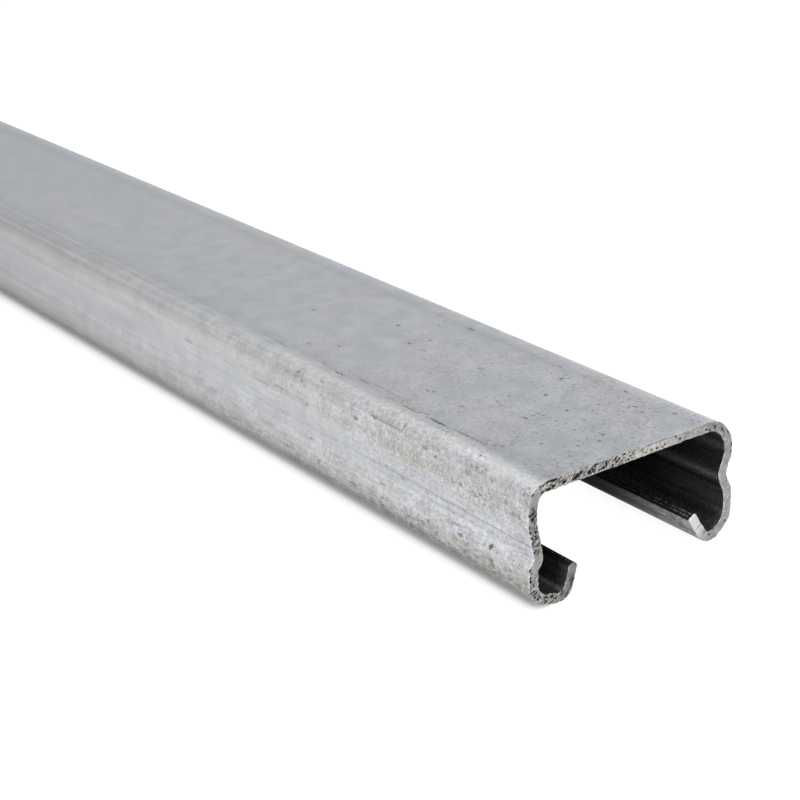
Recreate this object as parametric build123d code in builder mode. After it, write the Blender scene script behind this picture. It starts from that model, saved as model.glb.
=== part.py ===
"""Strut channel: one length of solid-web, waisted channel, cold rolled from galvanised strip.

The web is on top and the two legs stand on the floor. Each leg bulges below the web, is pinched in at
a waist, steps out again over a shoulder, and returns under the channel as a foot that ends in a lip.
The slot between the two lips runs the whole length. Both ends are square saw cuts.

Frame, in millimetres: +Y runs along the length, +Z is up and +X is the right-hand leg. The origin is
on the floor, below the middle of the length.
"""

import os

from build123d import *

# ---- driving dimensions ----
width = 38.1  # over the two legs, 1-1/2 in
height = 19.05  # floor to the top of the web, 3/4 in
length = 609.6  # sawn length, 24 in
sheet = 1.5  # strip thickness, 16 gauge

# Each leg is drawn as the middle line of its sheet. An inset is measured in from the leg's outermost
# line, a drop down from the web and a height up from the floor. Together they place the corners, and
# the radii, taken on the inside of each bend, round them off.
left_corner_inset = 0.75
left_bulge_top_drop = 2.85
left_bulge_foot_drop = 5.1
left_waist_inset = 1.1
left_waist_height = 7.5
left_shoulder_height = 6.5
left_heel_height = 1.85
left_sole_start_inset = 4.15
left_sole_end_inset = 5.75
left_lip_inset = 7.2
left_lip_height = 5.25
left_corner_radius = 1.45
left_bulge_radius = 7.8
left_waist_radius = 0.95
left_shoulder_radius = 0.25
left_heel_radius = 1.9
left_sole_radius = 0.85

# The right leg is rolled a little differently: its waist sits higher and its foot is a narrower vee.
right_corner_inset = 2.0
right_bulge_top_drop = 3.15
right_bulge_foot_drop = 5.35
right_waist_inset = 1.45
right_waist_height = 9.85
right_shoulder_height = 7.3
right_heel_height = 2.75
right_sole_start_inset = 2.65
right_sole_end_inset = 4.45
right_lip_inset = 7.1
right_lip_height = 5.0
right_corner_radius = 3.25
right_bulge_radius = 3.2
right_waist_radius = 2.4
right_shoulder_radius = 3.0
right_heel_radius = 2.5
right_sole_radius = 1.1

# ---- derived ----
side = (width - sheet) / 2  # middle of the sheet at a leg's outermost line
web_line = height - sheet / 2
sole_line = sheet / 2

# ---- bends of each leg, from the web down to the foot: inset, height, inside radius ----
left_bends = (
    (left_corner_inset, web_line, left_corner_radius),
    (0, web_line - left_bulge_top_drop, left_bulge_radius),
    (0, web_line - left_bulge_foot_drop, left_bulge_radius),
    (left_waist_inset, left_waist_height, left_waist_radius),
    (0, left_shoulder_height, left_shoulder_radius),
    (0, left_heel_height, left_heel_radius),
    (left_sole_start_inset, sole_line, left_sole_radius),
    (left_sole_end_inset, sole_line, left_sole_radius),
)
right_bends = (
    (right_corner_inset, web_line, right_corner_radius),
    (0, web_line - right_bulge_top_drop, right_bulge_radius),
    (0, web_line - right_bulge_foot_drop, right_bulge_radius),
    (right_waist_inset, right_waist_height, right_waist_radius),
    (0, right_shoulder_height, right_shoulder_radius),
    (0, right_heel_height, right_heel_radius),
    (right_sole_start_inset, sole_line, right_sole_radius),
    (right_sole_end_inset, sole_line, right_sole_radius),
)


def leg_corners(hand, bends, lip_inset, lip_height):
    """Corners of one leg's middle line, from the web to the end of the lip; hand is -1 for the left."""
    places = [(inset, up) for inset, up, radius in bends] + [(lip_inset, lip_height)]
    return [Vector(hand * (side - inset), up) for inset, up in places]


def sheet_face(corners, inside_radii, shift):
    """Corners and bend radii of the face that lies to the left of the sheet's middle line by a shift."""
    runs = [(end - start).normalized() for start, end in zip(corners, corners[1:])]
    normals = [Vector(-run.Y, run.X) for run in runs]
    face = [corners[0] + normals[0] * shift]
    radii = []
    for corner, inside, run, next_run, normal, next_normal in zip(
        corners[1:], inside_radii, runs, runs[1:], normals, normals[1:]
    ):
        mitre = (normal + next_normal).normalized()
        face.append(corner + mitre * (shift / mitre.dot(normal)))
        turns_left = run.cross(next_run).Z > 0
        radii.append(inside + sheet / 2 + (-shift if turns_left else shift))
    face.append(corners[-1] + normals[-1] * shift)
    return face, radii


# ---- the sheet's middle line, from the left lip over the web to the right lip, and its two faces ----
left_corners = leg_corners(-1, left_bends, left_lip_inset, left_lip_height)
right_corners = leg_corners(1, right_bends, right_lip_inset, right_lip_height)
middle = [*reversed(left_corners), *right_corners]
inside_radii = [radius for inset, up, radius in (*reversed(left_bends), *right_bends)]
outer_corners, outer_radii = sheet_face(middle, inside_radii, sheet / 2)
inner_corners, inner_radii = sheet_face(middle, inside_radii, -sheet / 2)

# ---- channel: the section is drawn at the +Y end, x and y being the channel's +X and +Z ----
with BuildPart() as strut_channel:
    with BuildSketch(Plane.XZ.offset(-length / 2)):
        with BuildLine():
            outer = FilletPolyline(*outer_corners, radius=outer_radii)
            inner = FilletPolyline(*inner_corners, radius=inner_radii)
            Line(outer @ 0, inner @ 0)
            Line(outer @ 1, inner @ 1)
        make_face()
    extrude(amount=length)
strut_channel.part.label = "strut_channel"

os.makedirs("parts", exist_ok=True)
export_step(strut_channel.part, "parts/strut_channel.step")
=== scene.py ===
"""Strut channel: one length of galvanised, waisted, solid-web channel with two square sawn ends.

Frame, in metres: +Y runs along the length, +Z is up and +X is the right-hand leg. The near sawn end
is the one at the lowest y. The channel stands on its two feet, with the slot against the floor.
"""
import contextlib
import functools
import math

import bpy
from mathutils import Matrix, Vector
from mathutils.kdtree import KDTree


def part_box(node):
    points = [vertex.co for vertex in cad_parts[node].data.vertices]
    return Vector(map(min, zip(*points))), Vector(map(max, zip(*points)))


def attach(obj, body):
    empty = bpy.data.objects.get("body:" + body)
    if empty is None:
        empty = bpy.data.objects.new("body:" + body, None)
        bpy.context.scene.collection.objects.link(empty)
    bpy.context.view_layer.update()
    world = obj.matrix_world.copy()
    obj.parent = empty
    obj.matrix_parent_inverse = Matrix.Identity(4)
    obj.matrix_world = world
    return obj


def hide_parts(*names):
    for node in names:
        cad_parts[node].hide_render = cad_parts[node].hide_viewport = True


bl_info = {
    "name": "Strut channel",
    "version": (1, 0, 0),
    "blender": (4, 5, 0),
    "location": "3D View > Sidebar > Strut channel",
    "description": "Rolls one length of galvanised strut channel and sets up its stage",
    "category": "Add Mesh",
}

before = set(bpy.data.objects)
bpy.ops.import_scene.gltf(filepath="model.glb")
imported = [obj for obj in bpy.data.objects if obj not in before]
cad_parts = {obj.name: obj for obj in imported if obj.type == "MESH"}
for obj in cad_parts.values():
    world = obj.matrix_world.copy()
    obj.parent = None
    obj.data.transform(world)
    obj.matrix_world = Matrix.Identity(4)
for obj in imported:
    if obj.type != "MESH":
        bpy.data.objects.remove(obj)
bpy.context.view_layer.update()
LOW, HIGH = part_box("strut_channel")

MM = 0.001
BENDS = ("corner", "bulge_top", "bulge_foot", "waist", "shoulder", "heel", "sole_start", "sole_end")
OUTSIDE, INSIDE, SAWN, SLIT = range(4)  # the channel's material slots
NEARLY = 1e-6  # how close two places count as one, in metres
MERGE = 0.01 * MM  # how close two vertices are merged into one
SLACK = 0.05  # share that a size may be over or under in a test


# ---------------------------------------------------------------- sizes and colours

def length(name, description, size, least=0.0):
    """A length that a user may change, given in millimetres."""
    return bpy.props.FloatProperty(
        name=name, description=description, default=size * MM, min=least * MM, precision=5,
        unit="LENGTH", subtype="DISTANCE")


def angle(name, description, degrees):
    return bpy.props.FloatProperty(
        name=name, description=description, default=math.radians(degrees), subtype="ANGLE",
        unit="ROTATION")


def power(name, description, watts):
    return bpy.props.FloatProperty(name=name, description=description, default=watts, unit="POWER")


def bend(name, inset, up, radius):
    """A bend of the sheet's middle line: inset from the leg's outermost line, height and radius."""
    return bpy.props.FloatVectorProperty(
        name=name, description="Inset from the side, height above the floor and inside radius",
        default=(inset * MM, up * MM, radius * MM), size=3, precision=5, unit="LENGTH")


def lip(inset, up):
    """Where the sheet's middle line ends."""
    return bpy.props.FloatVectorProperty(
        name="Lip", description="Inset from the side and height above the floor of the lip's edge",
        default=(inset * MM, up * MM), size=2, precision=5, unit="LENGTH")


def colour(name, description, value):
    return bpy.props.FloatVectorProperty(
        name=name, description=description, default=value, size=3, min=0.0, max=1.0, subtype="COLOR")


class LeftLegSizes(bpy.types.PropertyGroup):
    """Bends of the left leg, from the web down to the foot."""
    corner: bend("Corner", 0.75, 18.3, 1.45)
    bulge_top: bend("Bulge top", 0.0, 15.45, 7.8)
    bulge_foot: bend("Bulge foot", 0.0, 13.2, 7.8)
    waist: bend("Waist", 1.1, 7.5, 0.95)
    shoulder: bend("Shoulder", 0.0, 6.5, 0.25)
    heel: bend("Heel", 0.0, 1.85, 1.9)
    sole_start: bend("Sole start", 4.15, 0.75, 0.85)
    sole_end: bend("Sole end", 5.75, 0.75, 0.85)
    lip: lip(7.2, 5.25)


class RightLegSizes(bpy.types.PropertyGroup):
    """Bends of the right leg, which is rolled with a higher waist and a narrower foot."""
    corner: bend("Corner", 2.0, 18.3, 3.25)
    bulge_top: bend("Bulge top", 0.0, 15.15, 3.2)
    bulge_foot: bend("Bulge foot", 0.0, 12.95, 3.2)
    waist: bend("Waist", 1.45, 9.85, 2.4)
    shoulder: bend("Shoulder", 0.0, 7.3, 3.0)
    heel: bend("Heel", 0.0, 2.75, 2.5)
    sole_start: bend("Sole start", 2.65, 0.75, 1.1)
    sole_end: bend("Sole end", 4.45, 0.75, 1.1)
    lip: lip(7.1, 5.0)


class ChannelSizes(bpy.types.PropertyGroup):
    """Sizes of the sheet and of its mesh."""
    sheet: length("Sheet", "Thickness of the strip", 1.5)
    step: length("Step", "Longest step of the mesh round the section", 0.4)
    turn: angle("Turn", "Largest turn between two steps round a bend", 6)
    burr: length("Burr", "Width of the worn edge round each sawn end", 0.1)
    rag: length("Rag", "How far the saw left the edges ragged", 0.12)
    lip_end: length("Lip end", "Last step of the mesh along each lip, which the worn corners lie in", 0.8)
    left_wear: length("Left lip wear", "Width of the worn corners along the left slit edge", 0.62)
    right_wear: length("Right lip wear", "Width of the worn corners along the right slit edge", 0.18)


class Finishes(bpy.types.PropertyGroup):
    """Colours of the channel."""
    zinc_blue: colour("Zinc, bluish", "The cooler of the zinc's two greys", (0.411, 0.429, 0.455))
    zinc_warm: colour("Zinc, warm", "The warmer of the zinc's two greys", (0.427, 0.433, 0.446))
    flange_blue: colour("Flange, bluish", "The cooler of the flanges' two greys", (0.425, 0.441, 0.470))
    flange_beige: colour("Flange, beige", "The warmer of the flanges' two greys", (0.441, 0.437, 0.433))
    # the dirt is also laid over the heel, where it stands in part for painted shade near the floor
    dirt: colour("Dirt", "Shop dirt rubbed into the zinc", (0.78, 0.76, 0.70))
    speck: colour("Specks", "Dark specks and scratches", (0.060, 0.058, 0.054))
    dirt_speck: colour("Dirt specks", "Brown specks in the shop dirt", (0.120, 0.112, 0.102))
    # painted shade: the inside's zinc is near-black for the shade within the channel
    inside: colour("Inside", "Zinc on the inside of the channel", (0.14, 0.14, 0.14))
    sawn_warm: colour("Sawn steel, beige", "The warmer of the sawn ends' two greys", (0.435, 0.411, 0.386))
    sawn_cool: colour("Sawn steel, grey", "The cooler of the sawn ends' two greys", (0.411, 0.407, 0.405))
    # the burrs' bright steel is in part a painted highlight
    sawn_bright: colour("Bright steel", "Burrs that the saw left along the edges", (0.70, 0.68, 0.66))
    # painted shade: the pits' near-black stands for the shade inside them
    pit: colour("Pits", "Torn pits in the sawn ends", (0.018, 0.014, 0.013))
    # painted shade: the slit edges are near-black for the shade along the slot
    slit: colour("Slit edge", "Slit edges of the strip", (0.020, 0.020, 0.020))


class StageSizes(bpy.types.PropertyGroup):
    """Camera, floor and lamps."""
    lens: bpy.props.FloatProperty(name="Lens", description="Focal length", default=82.3186, unit="CAMERA")
    aim_x: length("Aim across", "Where the camera aims, from the web's middle", -14.069, least=-1000)
    aim_in: length("Aim in", "Where the camera aims, in from the near sawn end", 36.253)
    distance: length("Distance", "From the camera to its aim", 273.497)
    azimuth: angle("Azimuth", "Camera's turn round the channel", -34.499)
    elevation: angle("Elevation", "Camera's height above the web", 22.672)
    roll: angle("Roll", "Camera's lean", -2.773)
    fill: bpy.props.FloatProperty(name="Fill", description="Even light of the studio", default=0.2)
    overhead: power("Overhead", "Power of the overhead softbox", 5.0)
    left: power("Left", "Power of the softbox at the left", 1.3)
    front: power("Front", "Power of the softbox before the sawn end", 0.3)
    right: power("Right", "Power of the softbox at the right", 0.8)


# ---------------------------------------------------------------- small helpers

def deselect():
    for thing in bpy.context.selected_objects:
        thing.select_set(False)


@contextlib.contextmanager
def editing(piece, mode, test=None):
    """Goes into edit mode for the steps inside and then out again. What is selected is every edge or
    vertex that passes a test, or without one the whole mesh."""
    mesh = piece.data
    for kind, items in (("FACE", mesh.polygons), ("EDGE", mesh.edges), ("VERT", mesh.vertices)):
        for item in items:
            item.select = bool(test and kind == mode and test(item))
    bpy.context.view_layer.objects.active = piece
    bpy.ops.object.mode_set(mode="EDIT")
    bpy.ops.mesh.select_mode(type=mode)
    if not test:
        bpy.ops.mesh.select_all(action="SELECT")
    yield
    bpy.ops.object.mode_set(mode="OBJECT")


# ---------------------------------------------------------------- node helpers

def sign(operation, swapped=False):
    """A method of Value for one sign of arithmetic, on numbers or on vectors."""
    def method(value, other):
        kind = "ShaderNodeMath" if value.socket.type == "VALUE" else "ShaderNodeVectorMath"
        first, second = (other, value) if swapped else (value, other)
        return value.nodes.add(kind, {0: first, 1: second}, operation=operation)
    return method


class Value:
    """One output of a node. Sums and products of values, and with numbers, are written with plain signs."""

    def __init__(self, nodes, socket):
        self.nodes, self.socket = nodes, socket

    __add__, __radd__ = sign("ADD"), sign("ADD", swapped=True)
    __sub__, __rsub__ = sign("SUBTRACT"), sign("SUBTRACT", swapped=True)
    __mul__, __rmul__ = sign("MULTIPLY"), sign("MULTIPLY", swapped=True)
    __truediv__, __rtruediv__ = sign("DIVIDE"), sign("DIVIDE", swapped=True)
    max = sign("MAXIMUM")

    def __abs__(self):
        return self.nodes.add("ShaderNodeMath", {0: self}, operation="ABSOLUTE")

    def sine(self):
        return self.nodes.add("ShaderNodeMath", {0: self}, operation="SINE")

    def length(self):
        return self.nodes.add("ShaderNodeVectorMath", {0: self}, "Value", operation="LENGTH")

    def clamped(self):
        """Keeps a sum between 0 and 1."""
        self.socket.node.use_clamp = True
        return self

    def ramp(self, low, high, start=0, end=1, kind="SMOOTHSTEP"):
        """Runs from start to end while the value goes from low to high."""
        return self.nodes.add("ShaderNodeMapRange", {0: self, 1: low, 2: high, 3: start, 4: end},
                              interpolation_type=kind)

    def curve(self, points):
        """Follows a table of (place, result), with straight lines between its rows."""
        low, high = points[0][0], points[-1][0]
        top = max(result for place, result in points)
        shape = self.nodes.add("ShaderNodeFloatCurve", {"Value": (self - low) / (high - low)})
        mapping = shape.socket.node.mapping
        line = mapping.curves[0]
        for place, result in points[1:-1]:
            line.points.new((place - low) / (high - low), result / top)
        line.points[0].location = (0, points[0][1] / top)
        line.points[-1].location = (1, points[-1][1] / top)
        for point in line.points:
            point.handle_type = "VECTOR"
        mapping.update()
        return shape * top

    def parts(self):
        """The x, y and z of a vector."""
        separate = self.nodes.add("ShaderNodeSeparateXYZ", {0: self})
        return [Value(self.nodes, socket) for socket in separate.socket.node.outputs]

    def turned(self, angle):
        """A vector turned about z."""
        return self.nodes.add("ShaderNodeMapping", {"Vector": self, "Rotation": (0, 0, angle)})

    def effect(self, name, **feeds):
        """Places one of the shared effects at this vector; spaces in its inputs are underscores here."""
        return self.nodes.group(name, self, **feeds)[0]


class Nodes:
    """A node tree, with short calls that add nodes to it and give back their output."""

    def __init__(self, tree, material=None):
        self.tree, self.material = tree, material
        tree.nodes.clear()

    def add(self, kind, feeds=None, out=0, **settings):
        """Adds a node, sets it up, feeds its sockets with numbers or values and gives one output."""
        node = self.tree.nodes.new(kind)
        for name, value in settings.items():
            setattr(node, name, value)
        for socket, value in (feeds or {}).items():
            self.feed(node.inputs[socket], value)
        return Value(self, node.outputs[out]) if len(node.outputs) else None

    def feed(self, socket, value):
        if isinstance(value, Value):
            self.tree.links.new(value.socket, socket)
        elif socket.type == "RGBA":
            socket.default_value = (*value, 1)
        else:
            socket.default_value = value

    def group(self, name, *first, **feeds):
        """Places a shared effect and gives all its outputs."""
        node = self.tree.nodes.new("ShaderNodeGroup")
        node.node_tree = bpy.data.node_groups[name]
        for socket, value in zip(node.inputs, first):
            self.feed(socket, value)
        for socket, value in feeds.items():
            self.feed(node.inputs[socket.replace("_", " ")], value)
        return [Value(self, socket) for socket in node.outputs]

    def whole(self, x=0, y=0, z=0):
        return self.add("ShaderNodeCombineXYZ", {0: x, 1: y, 2: z})

    def noise(self, vector, scale, detail, roughness, out=0):
        return self.add("ShaderNodeTexNoise", {
            "Vector": vector, "Scale": scale, "Detail": detail, "Roughness": roughness}, out)

    def mix(self, share, first, second, blend="MIX"):
        return self.add("ShaderNodeMix", {0: share, 6: first, 7: second}, 2,
                        data_type="RGBA", blend_type=blend)

    def lit(self, colour, light):
        """A colour made lighter or darker all alike."""
        return self.mix(1, colour, self.whole(light, light, light), "MULTIPLY")

    def surface(self, feeds, height, strength, distance):
        """Ends a material with a Principled surface, rough by a bump of a given height, and gives it."""
        feeds["Normal"] = self.add("ShaderNodeBump", {
            "Strength": strength, "Distance": distance * MM, "Height": height})
        shader = self.add("ShaderNodeBsdfPrincipled", feeds)
        self.add("ShaderNodeOutputMaterial", {"Surface": shader})
        return self.material


def new_finish(name):
    """The nodes of a new material, which they keep beside them."""
    material = bpy.data.materials.new(name)
    material.use_nodes = True
    return Nodes(material.node_tree, material)


# ---------------------------------------------------------------- shared effects, all in millimetres

EFFECTS = []


def shared(name, **inputs):
    """Lists a function as the maker of a shared effect, whose inputs start at the given values. The
    function is given its nodes and inputs, and gives back its outputs by name."""
    def listed(maker):
        EFFECTS.append((name, inputs, maker))
        return maker
    return listed


def socket_kind(is_vector):
    return "NodeSocketVector" if is_vector else "NodeSocketFloat"


def new_effect(name, inputs, maker):
    """Builds one shared effect as a shader group with named inputs and outputs."""
    tree = bpy.data.node_groups.new(name, "ShaderNodeTree")
    nodes = Nodes(tree)
    for label, value in inputs.items():
        socket = tree.interface.new_socket(label.replace("_", " "), in_out="INPUT",
                                           socket_type=socket_kind(isinstance(value, tuple)))
        socket.default_value = value
    start = tree.nodes.new("NodeGroupInput")
    results = maker(nodes, *(Value(nodes, socket) for socket in start.outputs[:len(inputs)]))
    for label, value in results.items():
        tree.interface.new_socket(label, in_out="OUTPUT",
                                  socket_type=socket_kind(value.socket.type == "VECTOR"))
    end = tree.nodes.new("NodeGroupOutput")
    for label, value in results.items():
        nodes.feed(end.inputs[label], value)


@shared("strip place")
def place_effect(nodes):
    """Strip follows the sheet round the section and in from the near end; Solid is the plain place; Face
    follows the sheet round and in from its outer face, over a sawn end."""
    solid = nodes.add("ShaderNodeMapping", {
        "Vector": nodes.add("ShaderNodeTexCoord", out="Object"), "Location": (0, -LOW.y / MM, 0),
        "Scale": (1 / MM, 1 / MM, 1 / MM)})
    across, deep = (nodes.add("ShaderNodeAttribute", out="Fac", attribute_name=name) * (1 / MM)
                    for name in ("round", "deep"))
    return {"Strip": nodes.whole(across, solid.parts()[1]), "Solid": solid,
            "Face": nodes.whole(across, deep)}


@shared("clouds", Vector=(0, 0, 0), Size=5, Detail=2)
def clouds_effect(nodes, vector, size, detail):
    """Soft patches of a given size; the value swings evenly about zero."""
    return {"Value": nodes.noise(vector, 1 / size, detail, 0.55) - 0.5}


@shared("specks", Vector=(0, 0, 0), Size=0.5, Cover=0.5)
def specks_effect(nodes, vector, size, cover):
    """Small ragged specks; Cover runs from none at 0 to crowded at 1."""
    level = 0.76 - cover * 0.27
    return {"Mask": nodes.noise(vector, 1 / size, 3, 0.62).ramp(level, level + 0.08)}


@shared("roll streaks", Strip=(0, 0, 0), Width=0.4, Length=30)
def streaks_effect(nodes, strip, width, length):
    """Fine lines drawn out along the length by the rolls; the value swings evenly about zero."""
    across, along, _ = strip.parts()
    return {"Value": nodes.noise(nodes.whole(across / width, along / length), 1, 2, 0.6) - 0.5}


@shared("ragged place", Strip=(0, 0, 0), Amount=0.5)
def ragged_effect(nodes, strip, amount):
    """The place on the strip, shaken so that a mark drawn from it has ragged edges."""
    shake = nodes.noise(strip, 1.6, 3, 0.6, "Color") - (0.5, 0.5, 0.5)
    return {"Strip": strip + shake * nodes.whole(amount, amount)}


@shared("mark", Ragged_strip=(0, 0, 0), Place=(0, 0, 0), Reach=(1, 1, 1), Depth=0.5)
def mark_effect(nodes, ragged, place, reach, depth):
    """One mark at a place on the strip, of a given reach round and along and a given depth of tone."""
    return {"Mask": ((ragged - place) / reach).length().ramp(0.45, 1.12, depth, 0)}


@shared("band", Strip=(0, 0, 0), Middle=0, Half_width=1, Soft=0.5, Start=-99, End=2000, Fade=60)
def band_effect(nodes, strip, middle, half_width, soft, start, end, fade):
    """A band along the length, between two distances round the sheet, with soft edges. It fades in from
    Start and out from End, and as set here it runs past both ends of the channel."""
    across, along, _ = strip.parts()
    inside = abs(across - middle).ramp(half_width, half_width + soft, 1, 0)
    return {"Mask": inside * (along.ramp(start, start + fade) * along.ramp(end, end + fade, 1, 0))}


# ---------------------------------------------------------------- finishes

# Marks of use on the zinc: distance in from the near end, distance round the sheet, reach along, reach
# round, depth of tone. All lengths in millimetres.
WEB_MARKS = (
    (9, 9.7, 0.4, 0.35, 0.6), (26.7, 9.3, 0.45, 0.45, 0.8), (26, 10.2, 0.35, 0.3, 0.4),
    (15.3, 6.9, 0.35, 0.4, 0.5), (5.5, 12.8, 0.35, 0.35, 0.7), (16.3, 13.1, 0.6, 0.3, 0.5),
    (53, 12.2, 1.08, 0.23, 0.77), (30.5, 12.3, 0.8, 0.25, 0.4), (43, 12.5, 1.1, 0.25, 0.3),
    (58.8, 11.2, 0.5, 0.3, 0.44), (53.3, 4.1, 0.5, 0.23, 0.66), (62.5, 4.4, 0.58, 0.36, 0.66),
    (23.3, 3.4, 0.45, 0.45, 0.7), (38.2, 2.8, 0.5, 0.5, 0.4), (16.7, 2, 0.45, 0.3, 0.6),
    (12.7, 1.6, 0.5, 0.25, 0.5), (22.6, 0.7, 0.35, 0.25, 0.5), (6.7, 0.2, 0.35, 0.4, 0.7),
    (7.4, 0.2, 0.3, 0.3, 0.6), (5.5, -1.7, 0.35, 0.45, 0.7), (17.7, -1.7, 0.35, 0.3, 0.6),
    (18.5, -1.8, 0.35, 0.35, 0.7), (18.5, -4.3, 0.45, 0.35, 0.8), (6.2, -5, 0.35, 0.3, 0.6),
    (50.3, 0.6, 0.79, 0.3, 0.44), (54.5, 0.9, 0.65, 0.26, 0.77), (35.5, -8.4, 0.45, 0.35, 0.6),
    (36.5, -8.8, 0.45, 0.3, 0.6), (28.2, -8.7, 0.6, 0.3, 0.4), (10.2, -8.2, 0.45, 0.4, 0.4),
    (61.2, -8.3, 0.58, 0.33, 0.44), (65.5, -11.3, 0.65, 0.4, 0.33), (46, -13.9, 1.9, 0.24, 0.5),
    (18.5, -14.5, 4, 0.22, 0.5), (25.8, -14.8, 2.6, 0.26, 0.9), (32.5, -14.9, 2.6, 0.22, 0.6),
    (37.5, -14.9, 1.6, 0.16, 0.3), (51.3, -14.9, 1.66, 0.2, 1), (42, -13.4, 9, 0.16, 0.3),
    (56.5, -14.3, 0.86, 0.2, 0.44), (68, -14.8, 3, 0.25, 0.3), (78.5, -1.9, 0.72, 0.26, 0.44),
    (1.2, 13.3, 0.25, 0.2, 0.7), (2.2, 13.1, 0.3, 0.25, 0.6), (0, 12.5, 0.2, 0.2, 0.9),
    (24.9, 12.5, 0.5, 0.5, 0.3), (37.3, 12.4, 0.7, 0.25, 0.3), (11, 10.5, 0.25, 0.4, 0.5),
    (20.8, 9, 0.3, 0.15, 0.5), (23.7, 9.2, 0.3, 0.3, 0.3), (17.9, 7.8, 0.2, 0.15, 0.5),
    (12.3, 4.6, 0.25, 0.25, 0.4), (6.5, 5.9, 0.25, 0.25, 0.3), (33.5, 6.5, 0.5, 0.2, 0.4),
    (0.8, 3.9, 0.2, 0.2, 0.4), (6.9, 4.1, 0.2, 0.2, 0.3), (1.5, 2.3, 0.25, 0.25, 0.5),
    (3, 2.5, 0.15, 0.15, 0.5), (6.1, 2.5, 0.25, 0.2, 0.5), (7.5, 3.8, 0.2, 0.2, 0.4),
    (9.8, 3, 0.2, 0.2, 0.4), (18.4, 1.9, 0.3, 0.2, 0.5), (12.2, 1.6, 0.2, 0.2, 0.4),
    (3.3, 1.4, 0.2, 0.2, 0.5), (4.6, 1.6, 0.2, 0.2, 0.3), (8.6, -0.3, 0.3, 0.15, 0.4),
    (6.3, -1.9, 0.2, 0.25, 0.4), (13.3, -1.2, 0.25, 0.25, 0.4), (14.8, -1.7, 0.3, 0.2, 0.6),
    (16.2, -1.6, 0.25, 0.4, 0.5), (10.8, -1.7, 0.3, 0.3, 0.4), (26.5, -0.9, 0.3, 0.3, 0.4),
    (7.1, -2.5, 0.3, 0.3, 0.5), (7.5, -3.7, 0.3, 0.25, 0.5), (6.2, -3.9, 0.2, 0.2, 0.4),
    (12, -3.5, 0.25, 0.25, 0.4), (1, -3.9, 0.2, 0.2, 0.5), (0.9, -5.6, 0.2, 0.3, 0.5),
    (9.6, -5, 0.2, 0.2, 0.4), (7.3, -6.6, 0.25, 0.25, 0.3), (4.2, -8.1, 0.25, 0.25, 0.4),
    (7.8, -8.1, 0.2, 0.2, 0.3), (2.1, -9.6, 0.3, 0.15, 0.7), (3.7, -10.8, 0.3, 0.2, 0.6),
    (4.8, -10.4, 0.3, 0.3, 0.4), (32.6, -8.4, 0.4, 0.2, 0.5), (36.2, -11.4, 0.3, 0.3, 0.4),
    (44.6, 6.7, 0.3, 0.2, 0.5), (46, 1.8, 0.43, 0.26, 0.33), (42, -4.3, 0.5, 0.3, 0.3),
    (45.8, -6.6, 0.4, 0.25, 0.3), (58, 9.3, 0.43, 0.26, 0.44), (0.2, -13.9, 0.15, 0.15, 0.7),
    (0.1, -15.5, 0.2, 0.2, 0.7),
)
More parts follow.
